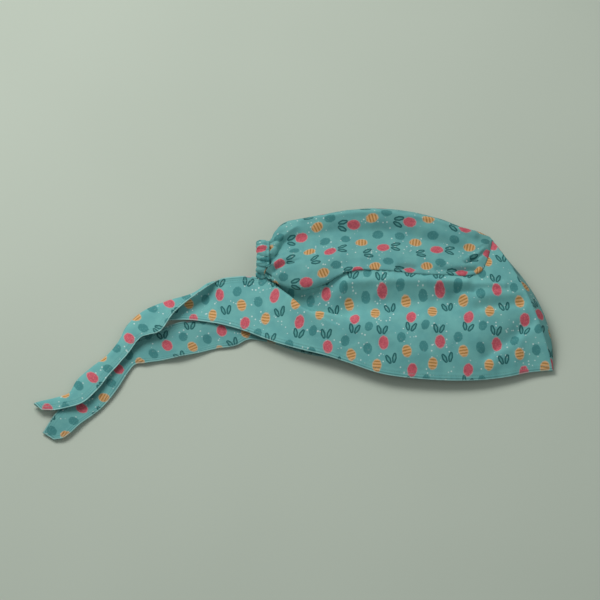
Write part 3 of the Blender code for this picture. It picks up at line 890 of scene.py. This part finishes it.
# across, up, half width, half height, turn in degrees
CORAL = ((8.0, 12.0, 5.0, 6.4, -7.0), (36.5, 38.5, 4.9, 6.3, 10.0))
AMBER = ((31.5, 2.5, 4.7, 5.9, -12.0), (0.5, 44.5, 4.6, 6.0, 5.0))
TEAL = ((26.0, 16.5, 4.5, 5.6, 12.0), (48.5, 7.5, 4.6, 5.7, -10.0), (50.5, 29.0, 4.2, 5.2, 18.0))
# across and up of the foot, turn of the pair in degrees
SPRIGS = ((6.5, 19.5, 4.0), (16.5, 45.0, -10.0), (34.5, 22.5, 14.0))
# half width, half of its straight part, lean in degrees, its middle from the foot, half line,
# how fast it narrows
LEAF = (1.80, 3.6, 20.0, 6.0, 0.85, 0.24)

GROUND = (124, 196, 193)
GROUND_SHADE = (112, 185, 185)
CORAL_COLOUR = (230, 96, 114)
CORAL_DARK = (196, 68, 90)
CORAL_LIGHT = (242, 172, 172)
AMBER_COLOUR = (240, 170, 84)
AMBER_DARK = (158, 112, 62)
AMBER_LIGHT = (240, 200, 160)
TEAL_COLOUR = (62, 140, 142)
TEAL_LIGHT = (112, 182, 178)
LEAF_COLOUR = (14, 96, 98)
LEAF_INSIDE = (76, 154, 150)
DOT_COLOUR = (224, 244, 240)


def turned_place(sh, place, x, y, turn):
    """Place about a point that repeats, turned."""
    moved = sh.vector("SUBTRACT", place, (x, y, 0.0))
    half = (0.5 * REPEAT[0], 0.5 * REPEAT[1], 1.0)
    wrapped = sh.vector("WRAP", moved, half, tuple(-h for h in half))
    inputs = {"Vector": wrapped, "Angle": math.radians(turn)}
    return sh.node("ShaderNodeVectorRotate", {"rotation_type": "Z_AXIS"}, inputs)


def place_in(sh, place, x, y, half_width, half_height, turn):
    """Place inside an oval that repeats: 1 from its middle is its edge."""
    turned = turned_place(sh, place, x, y, turn)
    return sh.vector("MULTIPLY", turned, (1.0 / half_width, 1.0 / half_height, 0.0))


def leaf_distance(sh, place, x, y, side, turn):
    """Distance from the middle line of one leaf of a pair, in millimetres."""
    _, straight, lean, middle, _, narrowing = LEAF
    turned = turned_place(sh, place, x, y, turn + side * lean)
    inside = sh.vector("SUBTRACT", turned, (side * 1.1, middle, 0.0))
    folded = sh.vector("ABSOLUTE", inside)
    beyond = sh.vector("SUBTRACT", folded, (0.0, straight, 0.0))
    beyond = sh.vector("MAXIMUM", beyond, (0.0, 0.0, 0.0))
    reach = sh.vector("LENGTH", sh.vector("MULTIPLY", beyond, (1.0, 1.0, 0.0)), output=1)
    return reach + sh.node("ShaderNodeSeparateXYZ", {}, {"Vector": folded}, 1) * narrowing


def print_colour(sh, place, wobble):
    """The printed cloth's colour. place is in millimetres, up along Y."""
    specks = sh.node("ShaderNodeTexVoronoi", {"feature": "F1"}, {"Vector": place, "Scale": 0.60})
    mottle = sh.node("ShaderNodeTexNoise", {}, {"Vector": place, "Scale": 0.06, "Detail": 3.0})
    colour = sh.mix(mottle.step(0.35, 0.65), rgb(*GROUND_SHADE), rgb(*GROUND))
    sprinkle = sh.node("ShaderNodeTexVoronoi", {"feature": "F1"}, {"Vector": place, "Scale": 0.22})
    clump = sh.node("ShaderNodeTexNoise", {}, {"Vector": place, "Scale": 0.05, "Detail": 1.0})
    dots = (1.0 - sprinkle.step(0.13, 0.23)) * clump.step(0.42, 0.50)
    colour = sh.mix(dots * 0.85, colour, rgb(*DOT_COLOUR))
    for x, y, turn in SPRIGS:
        for side in (-1.0, 1.0):
            distance = leaf_distance(sh, place, x, y, side, turn) + wobble * 0.9
            inside = 1.0 - distance.step(LEAF[0] - 0.3, LEAF[0] + 0.2)
            colour = sh.mix(inside * 0.5, colour, rgb(*LEAF_INSIDE))
            line = 1.0 - (distance - LEAF[0]).calc("ABSOLUTE").step(LEAF[4] - 0.25, LEAF[4] + 0.15)
            colour = sh.mix(line * 0.9, colour, rgb(*LEAF_COLOUR))
    for row in TEAL:
        distance = sh.vector("LENGTH", place_in(sh, place, *row), output=1) + wobble
        spots = (1.0 - specks.step(0.16, 0.34)) * 0.55
        body = sh.mix(spots, rgb(*TEAL_COLOUR), rgb(*TEAL_LIGHT))
        colour = sh.mix((1.0 - distance.step(0.88, 1.06)) * 0.85, colour, body)
    for row in AMBER:
        inside = place_in(sh, place, *row)
        distance = sh.vector("LENGTH", inside, output=1) + wobble
        parts = sh.node("ShaderNodeSeparateXYZ", {}, {"Vector": inside}, 1)
        bands = (parts * 12.5 + wobble * 7.0).calc("SINE")
        body = sh.mix(bands.step(0.25, 0.8) * 0.75, rgb(*AMBER_COLOUR), rgb(*AMBER_DARK))
        body = sh.mix((0.0 - bands).step(0.55, 0.95) * 0.7, body, rgb(*AMBER_LIGHT))
        body = sh.mix(distance.step(0.80, 1.0) * 0.7, body, rgb(*AMBER_LIGHT))
        colour = sh.mix((1.0 - distance.step(0.92, 1.14)) * 0.95, colour, body)
    for row in CORAL:
        distance = sh.vector("LENGTH", place_in(sh, place, *row), output=1) + wobble
        spots = (1.0 - specks.step(0.12, 0.27)) * 0.5
        body = sh.mix(spots, rgb(*CORAL_COLOUR), rgb(*CORAL_LIGHT))
        body = sh.mix(specks.step(0.52, 0.75) * 0.5, body, rgb(*CORAL_DARK))
        body = sh.mix(distance.step(0.84, 1.04) * 0.8, body, rgb(*CORAL_LIGHT))
        colour = sh.mix((1.0 - distance.step(0.92, 1.12)) * 0.96, colour, body)
    return colour


def cloth_material(name, shade, stitched):
    """Printed cotton, with stitching along its hems where it has them. shade darkens the whole
    print as painted shade; hems get a painted highlight on their edge and painted shade in the
    stitch groove.
    """
    sh = Shader(name)
    place = sh.node("ShaderNodeUVMap", {"uv_map": "print"})
    place = sh.vector("MULTIPLY", place, (1000.0, 1000.0, 0.0))
    rough = sh.node("ShaderNodeTexNoise", {}, {"Vector": place, "Scale": 0.50, "Detail": 2.0})
    wobble = (rough - 0.5) * 0.32
    colour = print_colour(sh, place, wobble)
    fuzz = sh.node("ShaderNodeTexNoise", {}, {"Vector": place, "Scale": 2.0, "Detail": 2.0})
    colour = sh.mix(fuzz.step(0.40, 0.75) * 0.08, colour, rgb(170, 214, 208))
    threads = {"Vector": place, "Scale": 0.75, "Distortion": 0.6}
    warp = sh.node("ShaderNodeTexWave", {"bands_direction": "X"}, threads)
    weft = sh.node("ShaderNodeTexWave", {"bands_direction": "Y"}, threads)
    height = warp * weft * 0.25 + fuzz * 0.35
    if stitched:
        parts = sh.node("ShaderNodeUVMap", {"uv_map": "hem"})
        away = sh.node("ShaderNodeSeparateXYZ", {}, {"Vector": parts}, 1) * 1000.0
        along = sh.node("ShaderNodeSeparateXYZ", {}, {"Vector": parts}) * 1000.0
        row = 1.0 - (away - 4.5).calc("ABSOLUTE").step(0.15, 0.65)
        dash = (along * 2.6).calc("SINE").step(-0.5, 0.1)
        # Painted shade in the stitch groove: the stitching row is darkened under the pale thread
        # dashes.
        colour = sh.mix(row * 0.22, colour, rgb(60, 128, 130))
        colour = sh.mix(row * dash * 0.30, colour, rgb(150, 204, 196))
        beside = 1.0 - (away - 1.9).calc("ABSOLUTE").step(0.15, 0.70)
        colour = sh.mix(beside * 0.45, colour, rgb(44, 104, 106))
        # Painted highlight along the rolled hem edge: the cloth is lightened within about 1.4 mm
        # of the edge.
        edge_highlight = 1.0 - away.step(0.6, 1.4)
        colour = sh.mix(edge_highlight * 0.55, colour, rgb(178, 222, 216))
        height = height - row * 0.8 + row * dash * 0.6
    # Painted shade: the whole print is darkened by the shade factor of its piece.
    colour = sh.vector("MULTIPLY", colour, (shade, shade, shade))
    bump = sh.node("ShaderNodeBump", {}, {"Strength": 0.35, "Distance": 0.0004, "Height": height})
    sh.feed("Base Color", colour)
    sh.feed("Normal", bump)
    sh.feed("Roughness", 0.88)
    sh.feed("Sheen Weight", 0.08)
    sh.feed("Sheen Roughness", 0.5)
    sh.feed("Specular IOR Level", 0.25)
    return sh.material


def floor_material():
    sh = Shader("pale_floor")
    place = sh.node("ShaderNodeTexCoord", {}, {}, 3)
    soft = sh.node("ShaderNodeTexNoise", {}, {"Vector": place, "Scale": 3.0, "Detail": 2.0})
    sh.feed("Base Color", sh.mix(soft.step(0.3, 0.7), rgb(196, 206, 193), rgb(199, 209, 196)))
    sh.feed("Roughness", 0.8)
    sh.feed("Specular IOR Level", 0.15)
    return sh.material


def dress(piece, node, material):
    piece.data.materials.clear()
    piece.data.materials.append(material)
    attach(piece, "root")
    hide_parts(node)


right, right_area = build_right()
left, left_area = build_left()
top, top_area = build_crown()
back, back_area = build_casing()
# The band is at full brightness. The lower panel, crown and casing are darker copies of the same
# print: painted shade, deepest on the lower panel under the upper tie.
dress(right, "right_panel", cloth_material("band_print", 1.0, True))
dress(left, "left_panel", cloth_material("lower_print", 0.78, True))
dress(top, "crown", cloth_material("crown_print", 0.84, False))
dress(back, "back_casing", cloth_material("casing_print", 0.88, False))

bpy.ops.object.select_all(action="DESELECT")
bpy.ops.mesh.primitive_plane_add(size=24.0, location=(0.0, 0.0, -0.0003))
floor = bpy.context.object
floor.name = "floor"
floor.data.materials.append(floor_material())


def area_light(name, place, aim, size, power, colour):
    data = bpy.data.lights.new(name, "AREA")
    data.shape = "RECTANGLE"
    data.size = size[0]
    data.size_y = size[1]
    data.energy = power
    data.color = colour
    light = bpy.data.objects.new(name, data)
    bpy.context.scene.collection.objects.link(light)
    light.location = place
    toward = np.array(aim) - np.array(place)
    flat = math.hypot(toward[0], toward[1])
    light.rotation_euler = (math.atan2(flat, -toward[2]), 0.0, math.atan2(-toward[0], toward[1]))
    return light


area_light("key", (-0.60, 0.85, 1.32), (0.0, 0.0, 0.0), (1.0, 0.9), 17.5, (1.0, 0.99, 0.97))
area_light("fill", (0.6, -1.2, 1.8), (0.0, 0.0, 0.0), (1.6, 1.2), 4.0, (0.97, 1.0, 1.0))
world = bpy.data.worlds.new("room")
world.use_nodes = True
world.node_tree.nodes["Background"].inputs["Color"].default_value = (0.92, 0.98, 0.96, 1.0)
world.node_tree.nodes["Background"].inputs["Strength"].default_value = 0.24
bpy.context.scene.world = world
bpy.context.scene.view_settings.view_transform = "Standard"

CAMERA_DISTANCE = 8.0
CAMERA_ELEVATION = 60.0
CAMERA_AIM = (0.0061, 0.0374, 0.0)
FRAME_WIDTH = 0.600
camera_data = bpy.data.cameras.new("camera")
camera = bpy.data.objects.new("camera", camera_data)
bpy.context.scene.collection.objects.link(camera)
tilt = math.radians(CAMERA_ELEVATION)
camera.location = (
    CAMERA_AIM[0],
    CAMERA_AIM[1] - CAMERA_DISTANCE * math.cos(tilt),
    CAMERA_AIM[2] + CAMERA_DISTANCE * math.sin(tilt),
)
camera.rotation_euler = (math.radians(90.0) - tilt, 0.0, 0.0)
camera_data.sensor_width = 36.0
camera_data.lens = 36.0 * CAMERA_DISTANCE / FRAME_WIDTH
camera_data.clip_end = 40.0
bpy.context.scene.camera = camera
